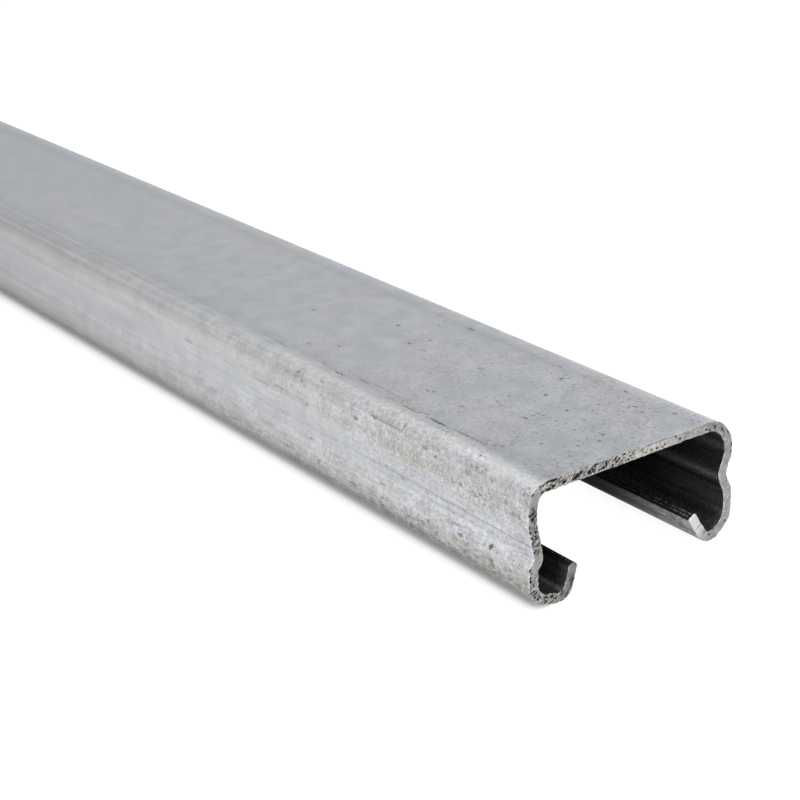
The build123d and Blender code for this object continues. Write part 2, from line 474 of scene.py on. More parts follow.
FLANGE_MARKS = (
    (1.3, -18.3, 0.5, 0.35, 0.6), (29.6, -18.5, 0.22, 0.9, 0.7), (33.5, -19.4, 4, 0.12, 0.72),
    (37, -19, 5, 0.36, 0.24), (21, -20.5, 0.45, 0.35, 0.7), (41.2, -21, 0.9, 0.35, 0.7),
    (36.8, -19.4, 0.9, 0.3, 0.8), (62.5, -22.5, 2.45, 0.14, 0.7), (68.5, -23.2, 2.88, 0.2, 0.35),
    (51.7, -18.2, 0.86, 0.2, 0.66), (58.4, -18.5, 0.58, 0.23, 0.66), (48.6, -22.6, 0.32, 0.3, 0.55),
    (54.9, -22.9, 0.36, 0.33, 0.44), (56.5, -19.6, 0.36, 0.2, 0.66), (8.7, -30.1, 0.5, 0.5, 1),
    (17, -29.7, 1.4, 0.22, 0.6), (18.3, -28.5, 0.45, 0.3, 0.5), (15.5, -30.8, 0.7, 0.3, 0.8),
    (23.2, -31.5, 0.45, 0.45, 0.8), (55.5, -29.2, 0.5, 0.2, 0.77), (35, -29.9, 1.1, 0.25, 0.5),
    (30, -27, 0.8, 0.6, 0.4), (34.2, -26.4, 0.5, 0.35, 0.5), (52.5, -32, 0.58, 0.33, 0.55),
    (61.8, -32.5, 0.58, 0.3, 0.55), (70.3, -32.7, 0.86, 0.3, 0.44), (28.2, -32.5, 1, 0.25, 0.7),
    (43.5, -33, 3.4, 0.13, 0.48), (37.8, -33.8, 1.1, 0.25, 0.7), (92.5, -23, 2.16, 0.36, 0.35),
    (78.5, -33.1, 1.58, 0.2, 0.66), (24, -20, 0.8, 0.35, 0.5), (4.8, -21.5, 0.6, 0.5, 0.5),
    (3.5, -22.8, 0.9, 0.3, 0.5), (2, -22.8, 0.6, 0.3, 0.5), (10.7, -22.5, 0.5, 0.3, 0.6),
    (9.3, -22.1, 0.35, 0.3, 0.5), (9.5, -22.8, 0.4, 0.3, 0.6), (11.5, -23, 0.7, 0.3, 0.5),
    (8.5, -23.6, 0.3, 0.3, 0.6), (9.7, -23.6, 0.3, 0.25, 0.5), (15, -22.5, 0.5, 0.4, 0.6),
    (16.8, -22.8, 0.3, 0.3, 0.6), (14, -22, 0.3, 0.3, 0.4), (4.3, -32, 0.6, 0.12, 0.5),
    (5.5, -32.3, 0.8, 0.15, 0.6), (8.8, -32, 0.6, 0.15, 0.5), (2.3, -33.4, 0.5, 0.2, 0.8),
    (6.5, -33.6, 0.8, 0.15, 0.7), (12, -32.6, 1.2, 0.15, 0.8), (14.5, -32.9, 0.6, 0.2, 0.9),
    (13, -33.5, 0.5, 0.15, 0.6), (17.5, -32.5, 0.6, 0.15, 0.6), (18.5, -33.5, 0.5, 0.15, 0.6),
    (21.3, -32.6, 0.5, 0.15, 0.5), (32.5, -32.9, 1.5, 0.1, 0.6), (35, -33.3, 0.6, 0.2, 0.7),
    (37.8, -33.2, 0.6, 0.25, 0.7), (43.3, -32.5, 2, 0.15, 0.6), (15.3, -30.5, 0.4, 0.2, 0.8),
    (16, -30.7, 0.3, 0.2, 0.6), (17.8, -30, 0.5, 0.1, 0.6), (10.8, -25.8, 0.5, 0.2, 0.3),
    (14.2, -26.2, 0.4, 0.2, 0.4), (16, -25.5, 0.6, 0.15, 0.4), (10.3, -18.7, 0.4, 0.2, 0.4),
    (12, -19, 0.5, 0.2, 0.6), (10.8, -19.2, 0.3, 0.2, 0.4), (12.1, -17, 0.2, 0.2, 0.8),
    (12.9, -17.1, 0.25, 0.3, 1), (21.3, -17.5, 0.5, 0.15, 0.5),
)

# Tone of the zinc round the sheet, with painted light and shade in it, as (distance round from the web's
# middle, tone).
# painted highlights along both bends and below the waist; painted shade over the bulge top, the heel, the
# lower right leg and the faces of both lips
ZINC_TONE_AND_PAINTED_LIGHT = (
    (-47, 0.22), (-43.4, 0.26), (-41, 0.34), (-38.5, 0.6), (-36.5, 0.6), (-34.7, 0.53), (-33.4, 0.62),
    (-32.2, 0.72), (-31, 0.8), (-30.3, 0.74), (-29.5, 0.89), (-28.8, 0.8), (-28.1, 0.9), (-27.2, 0.84),
    (-26, 0.86), (-24.6, 0.87), (-23.6, 0.88), (-22.8, 0.84), (-21.2, 0.87), (-19.8, 0.76), (-19, 0.7),
    (-18.2, 0.84), (-17.4, 1), (-16.2, 1.08), (-15.5, 1.06), (-14.8, 0.86), (-13.8, 0.86), (-12.8, 0.91),
    (-11, 0.945), (10.5, 0.95), (12.5, 0.88), (13.8, 1), (15.5, 1.15), (18.5, 0.95), (22, 0.9),
    (28, 0.95), (34, 0.8), (37, 0.65), (38.8, 0.55), (40.9, 0.52), (41.3, 0.24), (41.9, 0.26),
    (42.6, 0.5), (47, 0.5),
)

# How beige the flanges are round the sheet: 0 is bluish and 1 is beige.
FLANGE_HUES = (
    (-47, 0.9), (-36, 0.95), (-32, 0.9), (-30.5, 0.52), (-24.5, 0.42), (-22.5, 0.75), (-20, 0.66),
    (-16, 0.55), (16, 0.6), (47, 0.6),
)

# Painted light and shade of the inside round the sheet, as (distance round from the web's middle, tone):
# bright bands where light reaches in, over the painted shade of its dark zinc.
INSIDE_PAINTED_LIGHT = (
    (-47, 0.9), (-46.65, 1), (-46.4, 2.6), (-46.1, 1.2), (-43.2, 1.5), (-42.4, 6), (-41.2, 6.6),
    (-40.6, 2.2), (-38, 1.8), (-20, 1), (-14, 0.6), (12, 0.9), (14.5, 1.05), (18.5, 1.05), (19.3, 0.6),
    (21, 0.5), (22, 0.65), (22.8, 0.55), (25, 0.55), (25.9, 0.55), (26.1, 1.7), (26.35, 2), (26.6, 0.6),
    (27.4, 0.55), (27.7, 1.15), (28.1, 1.4), (28.6, 1), (31.4, 1.3), (31.9, 2.2), (32.5, 2.2),
    (33.1, 1.9), (38, 2.6), (47, 2),
)

# Distances round the sheet where the web turns into a flange, the left bulge starts and the right lip's
# upright starts.
WEB_EDGE = (15.2, 16.2)
LEFT_BULGE = (-26, -24)
RIGHT_LIP = (40.3, 41.3)
BRUSH_LEAN = math.radians(72)  # of the fine brush strokes over the left bulge

# The saw's strokes: their lean, the pitch of the uneven ones and the pitch of the even ones.
SAW_LEAN = math.radians(43)
SAW_PITCH = 0.2
SAW_BEAT = 0.25

# How deeply the saw tore the face, how even its strokes are, how light the face is and how bright its
# inner burr is, round the sheet.
SAW_DEPTHS = (
    (-47, 0.7), (-43.5, 0.9), (-41.5, 1.5), (-36, 1.6), (-31.8, 1.3), (-30.8, 0.3), (-28.8, 0.3),
    (-28, 1.4), (-21.2, 1.4), (-20.2, 0.3), (-17.8, 0.4), (-16.8, 1.5), (-9, 1.6), (-4, 1.5), (2, 0.8),
    (8, 0.45), (12, 0.6), (18.5, 0.7), (22.5, 0.5), (33, 0.4), (40, 0.5), (41.5, 0.15), (47, 0.15),
)
SAW_BEATS = (
    (-47, 0.1), (-41, 0.25), (-38, 0.45), (-32, 0.45), (-31, 0.1), (-28.6, 0.1), (-27.8, 0.5),
    (-22.8, 0.5), (-21.5, 0.15), (-18, 0.1), (-16, 0.2), (4, 0.2), (10, 0.12), (47, 0.1),
)
SAW_TONES = (
    (-47, 0.6), (-43, 0.66), (-40, 0.68), (-37, 0.8), (-33, 0.96), (-30.6, 1.04), (-28.8, 1.02),
    (-27.5, 0.82), (-24, 0.74), (-21, 0.74), (-19.5, 0.92), (-17.2, 0.94), (-15, 0.98), (-11, 0.95),
    (-8, 0.84), (-4.5, 0.78), (-1, 1.12), (1, 1.4), (4, 1.42), (8, 1.2), (12, 1.08), (14, 0.96),
    (17, 0.9), (20, 0.94), (25, 1.1), (33, 1.08), (37, 0.97), (40.5, 1.35), (41.5, 2.1), (47, 2.2),
)
# the bright burr is in part a painted highlight
SAW_BURRS = (
    (-47, 0.15), (-40, 0.4), (-34, 0.6), (-31.5, 0.7), (-30.5, 0.3), (-28, 0.7), (-26.5, 0.2),
    (-12, 0.15), (-6.5, 0.7), (-4, 0.95), (6, 0.95), (9, 0.6), (13, 0.4), (17, 0.2), (35, 0.3), (47, 0.2),
)

# Torn pits in the sawn ends: distance in from the outer face, distance round the sheet, reach in, reach
# round, depth of tone. All lengths in millimetres.
# painted shade: the pits are near-black for the shade inside them
SAW_PITS = (
    (0.1, -15.3, 0.3, 0.85, 1), (0.2, -14.5, 0.34, 0.85, 1), (-0.05, -11.9, 0.18, 0.25, 1),
    (1, -14.7, 0.31, 0.44, 1), (0.7, -13.6, 0.25, 0.4, 0.7), (1, -12.7, 0.18, 0.53, 1),
    (1.2, -15.6, 0.28, 0.78, 1), (0.75, -10.4, 0.44, 0.66, 1), (0.5, -9.8, 0.34, 0.5, 1),
    (0.98, -10.8, 0.37, 0.44, 1), (1.18, -11.1, 0.18, 0.26, 1), (0.9, -8.3, 0.44, 0.44, 1),
    (1, -7.4, 0.37, 0.22, 1), (0.6, -7.7, 0.34, 0.18, 1), (1.1, -6.5, 0.18, 0.21, 1),
    (1.1, -6.1, 0.23, 0.26, 1), (1, -5.7, 0.25, 0.37, 1), (0.76, -5.2, 0.44, 0.28, 1),
    (0.08, -7, 0.16, 0.44, 1), (0.22, -5.2, 0.28, 0.23, 1), (0.28, -7.4, 0.16, 0.47, 1),
    (1.16, -4, 0.22, 0.25, 1), (0.82, -3.3, 0.26, 0.39, 1), (0.5, -2.9, 0.22, 0.25, 1),
    (0.94, -2.4, 0.18, 0.22, 1), (0.62, -2, 0.18, 0.21, 1), (0.1, -1.8, 0.16, 0.31, 1),
    (1.1, -1.2, 0.22, 0.26, 1), (0.7, -0.8, 0.22, 0.25, 1), (1.2, -1.6, 0.16, 0.18, 1),
    (1.14, -0.5, 0.16, 0.18, 1), (1.06, 2.2, 0.22, 0.31, 0.7), (1, 3.2, 0.3, 0.31, 0.7),
    (1, 4.2, 0.26, 0.31, 1), (0.86, 5.7, 0.18, 0.25, 1), (1.14, 5.3, 0.18, 0.23, 0.7),
    (0.3, 7.8, 0.18, 0.25, 1), (0.87, 8.6, 0.3, 0.21, 1), (1.15, 9.6, 0.18, 0.25, 1),
    (0.3, 9.5, 0.22, 0.21, 0.7), (0.95, 13.7, 0.23, 0.3, 1), (1.15, 14.4, 0.17, 0.47, 1),
    (0.75, 15.7, 0.32, 0.34, 1), (0.7, 17.7, 0.32, 0.34, 1), (0.75, 18.3, 0.18, 0.47, 0.7),
    (0.25, 19.1, 0.18, 0.28, 1), (0.1, 4.5, 0.07, 4.02, 0.6), (0.2, 21.4, 0.22, 0.34, 1),
    (0.25, 22.4, 0.22, 0.31, 0.7), (0.75, 26.9, 0.9, 0.06, 0.7), (0.5, 33.9, 0.37, 0.22, 0.7),
    (1, 38.1, 0.16, 0.49, 1), (1.15, 40.2, 0.13, 0.47, 1), (0.75, 42, 0.9, 0.07, 1),
    (0.2, -27.7, 0.22, 0.25, 1), (0.44, -27.4, 0.21, 0.25, 1), (0.7, -26.8, 0.39, 0.16, 1),
    (0.06, -26.1, 0.18, 0.22, 1), (0.4, -26, 0.31, 0.17, 1), (0.7, -25.7, 0.23, 0.25, 1),
    (1, -25.8, 0.18, 0.21, 1), (0.3, -25.5, 0.18, 0.18, 1), (0.06, -25.2, 0.18, 0.22, 1),
    (0.9, -25.3, 0.31, 0.23, 1), (0.25, -24.5, 0.23, 0.25, 1), (1, -24.7, 0.28, 0.31, 1),
    (0.2, -23.6, 0.18, 0.22, 1), (1, -23.2, 0.22, 0.26, 1), (0.72, -22.6, 0.4, 0.47, 1),
    (0.3, -21.9, 0.39, 0.23, 1), (0.7, -21.7, 0.37, 0.25, 1), (1.1, -22.2, 0.18, 0.22, 1),
    (0.9, -21.3, 0.23, 0.25, 1), (0.34, -16.5, 0.21, 0.37, 1), (0.08, -17.2, 0.22, 0.18, 1),
    (0.04, -18.9, 0.13, 0.44, 1), (1.1, -17.3, 0.18, 0.66, 1), (0.42, -38, 0.22, 0.23, 1),
    (0.98, -38, 0.21, 0.34, 1), (1.1, -38.9, 0.31, 0.41, 1), (0.75, -39.6, 0.13, 0.47, 1),
    (0.46, -35.9, 0.21, 0.4, 1), (0.9, -36, 0.17, 0.47, 1), (0.78, -36.7, 0.13, 0.31, 1),
    (0.4, -35.1, 0.31, 0.23, 1), (0.2, -34, 0.23, 0.25, 1), (0.5, -33.9, 0.31, 0.17, 1),
    (0.8, -33.9, 0.17, 0.25, 1), (0.05, -33.4, 0.22, 0.18, 1), (0.02, -32.7, 0.18, 0.34, 1),
    (0.16, -32, 0.31, 0.36, 1), (0.06, -31.4, 0.4, 0.22, 1), (0.36, -30.7, 0.23, 0.25, 0.7),
    (0.02, -30.3, 0.16, 0.34, 1), (0.35, -44.6, 0.39, 0.93, 0.7), (0.45, -42.2, 0.22, 0.93, 0.7),
)

# The two rows of bright dashes along a slit edge: their middle and their distance from it, in from the
# outer face, and the beat of the dashes.
# painted glints: the dashes stand for light caught along the slit edge
DASH_MIDDLE = 0.82
DASH_ROWS = 0.28
DASH_BEAT = 0.11


def marks(ragged, table):
    """The darkest of a table of marks at each spot."""
    return functools.reduce(Value.max, (
        ragged.effect("mark", Place=(across, along, 0), Reach=(wide, long, 1), Depth=depth)
        for along, across, long, wide, depth in table))


def finish_galvanised(finishes):
    """Dull zinc with soft patches, fine specks, roll streaks and shop dirt."""
    nodes = new_finish("galvanised_outside")
    strip, solid, _ = nodes.group("strip place")
    across, along, _ = strip.parts()
    near = along.ramp(5, 90, 1, 0)
    distant = along.ramp(40, 200, 1, 0.45)
    web = abs(across).ramp(*WEB_EDGE, 1, 0)
    flange = 1 - web
    bulge = flange * across.ramp(*LEFT_BULGE)
    lip = across.ramp(*RIGHT_LIP)
    ragged = strip.effect("ragged place", Amount=0.9)

    # tone: painted light and shade round the sheet, clean and worn patches, soft clouds, and streaks that
    # the rolls drew on the flanges
    broad = solid.effect("clouds", Size=9, Detail=2)
    patch = (solid + (40, 0, 9)).effect("clouds", Size=3.4, Detail=4)
    wear = (solid + (4, 60, 0)).effect("clouds", Size=11, Detail=4)
    worn_off = (wear + near * 0.04).ramp(-0.03, 0.03)
    grain = solid.effect("clouds", Size=0.7, Detail=3)
    fine = (solid + (7, 3, 0)).effect("clouds", Size=0.2, Detail=1)
    streak = strip.effect("roll streaks", Width=0.3, Length=5)
    long_streak = strip.effect("roll streaks", Width=0.45, Length=25)
    bold = strip.effect("roll streaks", Width=1.3, Length=50)
    brushed = strip.turned(BRUSH_LEAN).effect("roll streaks", Width=0.35, Length=2.2)
    calm = web.ramp(0, 1, 1.25, along.ramp(10, 60, 0.9, 0.85))
    rubbed = worn_off.ramp(0, 1, 0.6, 1) * calm
    light = (across.curve(ZINC_TONE_AND_PAINTED_LIGHT) + broad * 0.07
             + patch * (web.ramp(0, 1, 0.42, 0.38) * distant)
             + grain * rubbed * along.ramp(0, 140, 0.75, 0.07)
             + fine * rubbed * along.ramp(0, 140, 0.7, 0.03)
             + streak * ((flange - bulge * 0.6) * (distant * 0.42))
             + brushed * bulge * along.ramp(20, 140, 0.34, 0.12)
             + long_streak * (flange.ramp(0, 1, 0.05, 0.26) * distant)
             + bold * (flange * 0.22))

    # painted shade: darker bands along the left corner, deeper away from the cut; the right lip is painted
    # light near the cut and painted shade away from it
    corner = strip.effect("band", Middle=-16.8, Half_width=0.9, Soft=0.8)
    past = ragged.parts()[1].ramp(15.4, 16.6) * 0.09
    light = light - corner * (past + along.ramp(30, 150, 0, 0.2))
    lip_painted_light = along.ramp(2, 18, 1.45, 0.25) + along.ramp(40, 150, 0, 0.3)
    lip_painted_light = lip_painted_light * (1 + streak * 2.2 + patch * 1.8 + grain * 2.2 + fine * 1.6)
    light = light * (1 - lip + lip * lip_painted_light)

    # a bright burr at the cut, partly a painted highlight, and a darker web at the cut; painted shade in
    # bands below the corner and over the heel
    burr = along.ramp(0.25, 0.5, 1, 0) * across.ramp(-18.5, -17.5, 0.16, 0)
    edge = web * along.ramp(4, 24, -0.055, 0)
    shade_below_corner = strip.effect("band", Middle=-21.1, Half_width=1.7, Soft=0.6)
    under = strip.effect("band", Middle=-35.1, Half_width=1.1, Soft=0.6, Start=3, End=60, Fade=10)
    light = light + burr + edge + shade_below_corner * along.ramp(15, 45, -0.1, -0.03) + under * -0.13

    # hue: bluish or warmer, each in its own patches
    web_hue = (worn_off + patch * 1.5).ramp(0, 1, 0.05, 1)
    tint = (strip * (1, 0.6, 1)).effect("clouds", Size=2.6, Detail=3)
    flange_hue = (across.curve(FLANGE_HUES) + tint * 1.7).clamped()
    zinc = nodes.mix(web_hue, finishes.zinc_blue, finishes.zinc_warm)
    side_zinc = nodes.mix(flange_hue, finishes.flange_blue, finishes.flange_beige)
    zinc = nodes.lit(nodes.mix(flange, zinc, side_zinc), light)

    # dirt: beige bands along the flanges and specks that crowd to the sawn end, and over the heel dirt that
    # is in part painted shade near the floor; also a thin dark line along the waist
    band = strip.effect("band", Middle=-22.2, Half_width=1.3, Soft=1.5, End=30)
    # over the heel the dirt and scuffs are in part painted shade near the floor
    heel = strip.effect("band", Middle=-33, Half_width=1.2, Soft=0.9, End=60, Fade=80)
    waist = strip.effect("band", Middle=-26.8, Half_width=0.05, Soft=0.22, End=15)
    smear = strip.effect("clouds", Size=2.2, Detail=5).ramp(-0.12, 0.16)
    zinc = nodes.mix(band.max(heel) * (smear * 0.75), zinc, finishes.dirt, "MULTIPLY")
    cluster = (solid + (0, 5, 3)).effect("clouds", Size=4, Detail=3)
    crowd = near * 0.48 + cluster * 1.4 + worn_off * 0.1
    web_specks = (solid + (11, 0, 5)).effect("specks", Size=0.6, Cover=crowd)
    dirt_cover = band * 0.52 + near * 0.28 + cluster * 1.5
    flange_specks = strip.effect("specks", Size=0.36, Cover=dirt_cover)
    scuffs = (strip * (1, 0.3, 1)).effect("specks", Size=0.38, Cover=heel * 0.8 + cluster * 1.6)
    scuffs = scuffs * (heel * near.ramp(0, 1, 0.4, 1))
    brown = ((flange_specks * 0.75).max(scuffs) * flange).max(web_specks * web)
    zinc = nodes.mix(brown * 0.75, zinc, finishes.dirt_speck)
    worn = (waist * 0.4).max(marks(ragged, WEB_MARKS + FLANGE_MARKS))
    zinc = nodes.mix(worn * 0.95, zinc, finishes.speck)

    dark = brown.max(worn)
    return nodes.surface({
        "Base Color": zinc, "Roughness": 0.42 + patch * 0.25 + grain * 0.2 + dark * 0.25,
        "Metallic": dark.ramp(0, 0.8, 0.4, 0.05), "Specular IOR Level": 0.25,
        "Specular Tint": (0.45, 0.46, 0.48),
    }, grain * 0.6 + fine * 0.3 + patch * 0.8 + streak * (flange * 0.8), strength=0.35, distance=0.05)


def finish_inside(finishes):
    """The unlit inside of the channel: smooth zinc painted near-black as shade, with bands of painted light
    and pale lines that the rolls left.
    """
    nodes = new_finish("dark_inside")
    strip, solid, _ = nodes.group("strip place")
    streak = strip.effect("roll streaks", Width=0.5, Length=60)
    bold = strip.effect("roll streaks", Width=1.6, Length=90)
    grain = solid.effect("clouds", Size=0.4, Detail=3)
    light = (1 + streak + bold * 0.7 + grain * 1.9) * strip.parts()[0].curve(INSIDE_PAINTED_LIGHT)
    return nodes.surface({
        "Base Color": nodes.lit(finishes.inside, light), "Roughness": 0.34 + grain * 0.2 + bold * 0.1,
        "Metallic": 0.9,
    }, streak + grain, strength=0.4, distance=0.05)


def saw_strokes(nodes, solid):
    """Straight slanting strokes of the saw over an end: uneven ones and evenly spaced ones, about zero."""
    x, _, z = solid.parts()
    slanted = nodes.whole(x, z).turned(-SAW_LEAN)
    uneven = nodes.noise(slanted / (SAW_PITCH * 6, SAW_PITCH, 1), 1, 2, 0.6) - 0.5
    wobble = slanted.effect("clouds", Size=1.2, Detail=2)
    even = ((slanted.parts()[1] / SAW_BEAT + wobble * 1.6) * (2 * math.pi)).sine()
    return uneven, even * uneven.ramp(-0.25, 0.25, 1.1, 0.5)


def finish_sawn(finishes):
    """Bare sawn steel: slanting strokes, torn pits painted near-black as the shade in them, and bright
    burrs along the inner edge that are in part painted highlights.
    """
    nodes = new_finish("sawn_steel")
    _, solid, face = nodes.group("strip place")
    across, deep, _ = face.parts()
    stroke, beat = saw_strokes(nodes, solid)
    mottle = face.effect("clouds", Size=1.1, Detail=3)
    grain = face.effect("clouds", Size=0.3, Detail=2)
    broad = (face + (50, 0, 0)).effect("clouds", Size=3.5, Detail=1)
    swing = stroke * 4.2 + beat * across.curve(SAW_BEATS) + mottle * 1.4 + grain * 1.5
    swing = swing * across.curve(SAW_DEPTHS)
    light = across.curve(SAW_TONES) * (1 + swing).max(0.06)
    hue = (broad.ramp(-0.1, 0.1) + across.ramp(18, 20)).clamped()
    steel = nodes.lit(nodes.mix(hue, finishes.sawn_warm, finishes.sawn_cool), light)
    burr = across.curve(SAW_BURRS) * deep.ramp(1.12, 1.3) * (stroke + grain).ramp(-0.12, 0.08)
    steel = nodes.mix(burr, steel, finishes.sawn_bright)
    ragged = (face * (2.5, 2.5, 1)).effect("ragged place", Amount=0.7) * (0.4, 0.4, 1)
    # painted shade: the deepest strokes are darkened as torn pits
    torn = swing.ramp(-0.9, -0.55, 1, 0) * 0.8
    pits = torn.max(marks(ragged, SAW_PITS))
    return nodes.surface({
        "Base Color": nodes.mix(pits, steel, finishes.pit), "Roughness": 0.5 + stroke * 0.3 + pits * 0.2,
        "Metallic": pits.ramp(0, 0.6, 0.3, 0), "Specular IOR Level": 0.15,
    }, swing, strength=0.4, distance=0.08)


def finish_slit(finishes):
    """The slit edges of the strip, along both lips: painted dark as shade, with two rows of bright dashes
    that are painted glints.
    """
    nodes = new_finish("slit_edge")
    _, solid, face = nodes.group("strip place")
    along, deep = solid.parts()[1], face.parts()[1]
    grain = solid.effect("clouds", Size=0.4, Detail=2)
    drawn = (solid * (4, 0.25, 4)).effect("clouds", Size=1, Detail=2)
    fades = (solid * (1, 0.5, 1)).effect("clouds", Size=0.5, Detail=2)
    away = abs(abs(deep - DASH_MIDDLE) - DASH_ROWS)
    beat = (along / DASH_BEAT).sine() * 0.1 + fades
    # painted glints, brightest near the cut
    dashes = away.ramp(0.04, 0.22, 1, 0) * beat.ramp(-0.08, 0.12) * along.ramp(2, 10, 14, 5)
    light = 1 + grain * 2 + drawn * 1.2 + dashes
    return nodes.surface({
        "Base Color": nodes.lit(finishes.slit, light), "Roughness": 0.55 + grain * 0.3,
        "Metallic": 0.3, "Specular IOR Level": 0.2,
    }, grain + drawn, strength=0.4, distance=0.06)


FINISHES = (finish_galvanised, finish_inside, finish_sawn, finish_slit)  # in the order of their slots


# ---------------------------------------------------------------- rolled section

def leg_moves(sizes, hand, side, sheet):
    """The moves that roll one leg of the middle line, as (x, z) points: each bend's start, end, centre,
    turn and radius, and then the end of the lip."""
    places = [(Vector((hand * (side - inset), LOW.z + up)), radius + sheet / 2)
              for inset, up, radius in (getattr(sizes, name) for name in BENDS)]
    end = Vector((hand * (side - sizes.lip[0]), LOW.z + sizes.lip[1]))
    corners = [Vector((0.0, places[0][0].y))] + [place for place, radius in places] + [end]
    runs = [(b - a).normalized() for a, b in zip(corners, corners[1:])]
    moves = []
    for corner, (place, radius), run, onward in zip(corners[1:], places, runs, runs[1:]):
        turn = math.atan2(run.x * onward.y - run.y * onward.x, run.dot(onward))
        tangent = radius * math.tan(abs(turn) / 2)
        start = corner - run * tangent
        left = Vector((-run.y, run.x)) * math.copysign(1, turn)
        moves.append((start, corner + onward * tangent, start + left * radius, turn, radius))
    return moves, end


def lies_in(mesh, axis, place):
    """A test for edges that lie all the way in a plane square to one axis."""
    return lambda edge: all(abs(mesh.vertices[v].co[axis] - place) < NEARLY for v in edge.vertices)


def straight(value, steps):
    """Extrudes the chosen edges along one straight run."""
    for step in range(steps):
        bpy.ops.mesh.extrude_edges_move(
            TRANSFORM_OT_translate={"value": (value.x / steps, 0.0, value.y / steps)})


def roll_leg(piece, sizes, hand, side, channel):
    """Rolls one leg down from the web's border, bend by bend, to the end of its lip."""
    moves, end = leg_moves(sizes, hand, side, channel.sheet)
    place = moves[0][0]
    with editing(piece, "EDGE", lies_in(piece.data, 0, place.x)):
        for start, finish, centre, turn, radius in moves:
            gap = (start - place).length
            if gap > NEARLY:
                straight(start - place, max(1, math.ceil(gap / channel.step)))
            steps = max(2, math.ceil(abs(turn) / channel.turn),
                        math.ceil(abs(turn) * radius / channel.step))
            bpy.ops.mesh.spin(steps=steps, angle=turn, center=(centre.x, 0.0, centre.y), axis=(0, 1, 0))
            place = finish
        last = (end - place).normalized() * channel.lip_end
        run = end - place - last
        straight(run, max(1, math.ceil(run.length / channel.step)))
        straight(last, 1)


def stations():
    """Places along the length where the mesh is cut, close together at both sawn ends."""
    span = HIGH.y - LOW.y
    near = [inset * MM for inset in (0.3, 0.7, 1.5, 3, 6, 12)]
    middle = [near[-1] + (span - 2 * near[-1]) * k / 30 for k in range(1, 30)]
    return [LOW.y + y for y in near + middle + [span - y for y in reversed(near)]]


SAMPLE, SAMPLE_TURN = 0.1 * MM, math.radians(2)  # the most between two measured points of the strip


def strip_places(scene, side):
    """Points of the middle line: place, distance round the outer face from the web's middle, and run."""
    channel = scene.channel_sizes
    places = []
    for sizes, hand in ((scene.left_leg, -1), (scene.right_leg, 1)):
        moves, end = leg_moves(sizes, hand, side, channel.sheet)
        place, run = Vector((0.0, LOW.z + sizes.corner[1])), 0.0
        for start, finish, centre, turn, radius in moves + [(end, end, end, 0.0, 0.0)]:
            gap = (start - place).length
            along = (start - place).normalized()
            steps = max(1, math.ceil(gap / SAMPLE))
            places += [(place.lerp(start, k / steps), hand * (run + gap * k / steps), along * hand)
                       for k in range(steps + 1)]
            run += gap
            outer = radius - turn * hand * channel.sheet / 2
            steps = max(1, math.ceil(abs(turn) / SAMPLE_TURN))
            for k in range(1, steps + 1):
                turned = Matrix.Rotation(turn * k / steps, 2)
                places.append((turned @ (start - centre) + centre,
                               hand * (run + abs(turn) * outer * k / steps), turned @ along * hand))
            run += abs(turn) * outer
            place = finish
    return places


def measure_strip(piece, scene):
    """Writes how far each vertex lies round the outer face and in from it, for the finishes."""
    sheet = scene.channel_sizes.sheet
    places = strip_places(scene, (HIGH.x - LOW.x - sheet) / 2)
    tree = KDTree(len(places))
    for index, (place, run, along) in enumerate(places):
        tree.insert((place.x, place.y, 0.0), index)
    tree.balance()
    across = piece.data.attributes.new("round", "FLOAT", "POINT")
    inward = piece.data.attributes.new("deep", "FLOAT", "POINT")
    for vertex, distance, depth in zip(piece.data.vertices, across.data, inward.data):
        place, run, along = places[tree.find((vertex.co.x, vertex.co.z, 0.0))[1]]
        away = Vector((vertex.co.x, vertex.co.z)) - place
        distance.value = run + away.dot(along)
        depth.value = sheet / 2 + away.x * along.y - away.y * along.x


def rolled_strip(scene):
    """The channel as one open sheet, on the middle line of the strip."""
    channel, left, right = scene.channel_sizes, scene.left_leg, scene.right_leg
    side = (HIGH.x - LOW.x - channel.sheet) / 2
    web = LOW.z + left.corner[1]
    low_x = leg_moves(left, -1, side, channel.sheet)[0][0][0].x
    high_x = leg_moves(right, 1, side, channel.sheet)[0][0][0].x
    cells = math.ceil((high_x - low_x) / channel.step)
    middle = ((low_x + high_x) / 2, (LOW.y + HIGH.y) / 2, web)
    bpy.ops.mesh.primitive_grid_add(x_subdivisions=cells, y_subdivisions=1, size=1.0, location=middle)
    piece = bpy.context.object
    piece.name = piece.data.name = "rolled_channel"
    bpy.ops.object.transform_apply(location=True, rotation=True, scale=True)
    with editing(piece, "EDGE"):
        bpy.ops.transform.resize(value=(high_x - low_x, HIGH.y - LOW.y, 1.0), center_override=middle)
        for y in stations():
            bpy.ops.mesh.select_all(action="SELECT")
            bpy.ops.mesh.bisect(plane_co=(0.0, y, 0.0), plane_no=(0.0, 1.0, 0.0))
    roll_leg(piece, left, -1, side, channel)
    roll_leg(piece, right, 1, side, channel)
    with editing(piece, "EDGE"):
        bpy.ops.mesh.remove_doubles(threshold=MERGE)
        bpy.ops.mesh.normals_make_consistent(inside=False)
    if sum(face.normal.z for face in piece.data.polygons if face.center.z > web - MERGE) < 0:
        with editing(piece, "FACE"):
            bpy.ops.mesh.flip_normals()
    return piece


def thicken(piece, sheet):
    """Gives the strip its thickness, with its own material slots inside and on the cut edges."""
    wall = piece.modifiers.new("sheet", "SOLIDIFY")
    wall.thickness = sheet
    wall.offset = 0.0
    wall.use_even_offset = True
    wall.material_offset = INSIDE
    wall.material_offset_rim = SAWN
    bpy.ops.object.modifier_apply(modifier=wall.name)
    for face in piece.data.polygons:
        if face.material_index == SAWN and abs(face.normal.y) < 0.5:
            face.material_index = SLIT


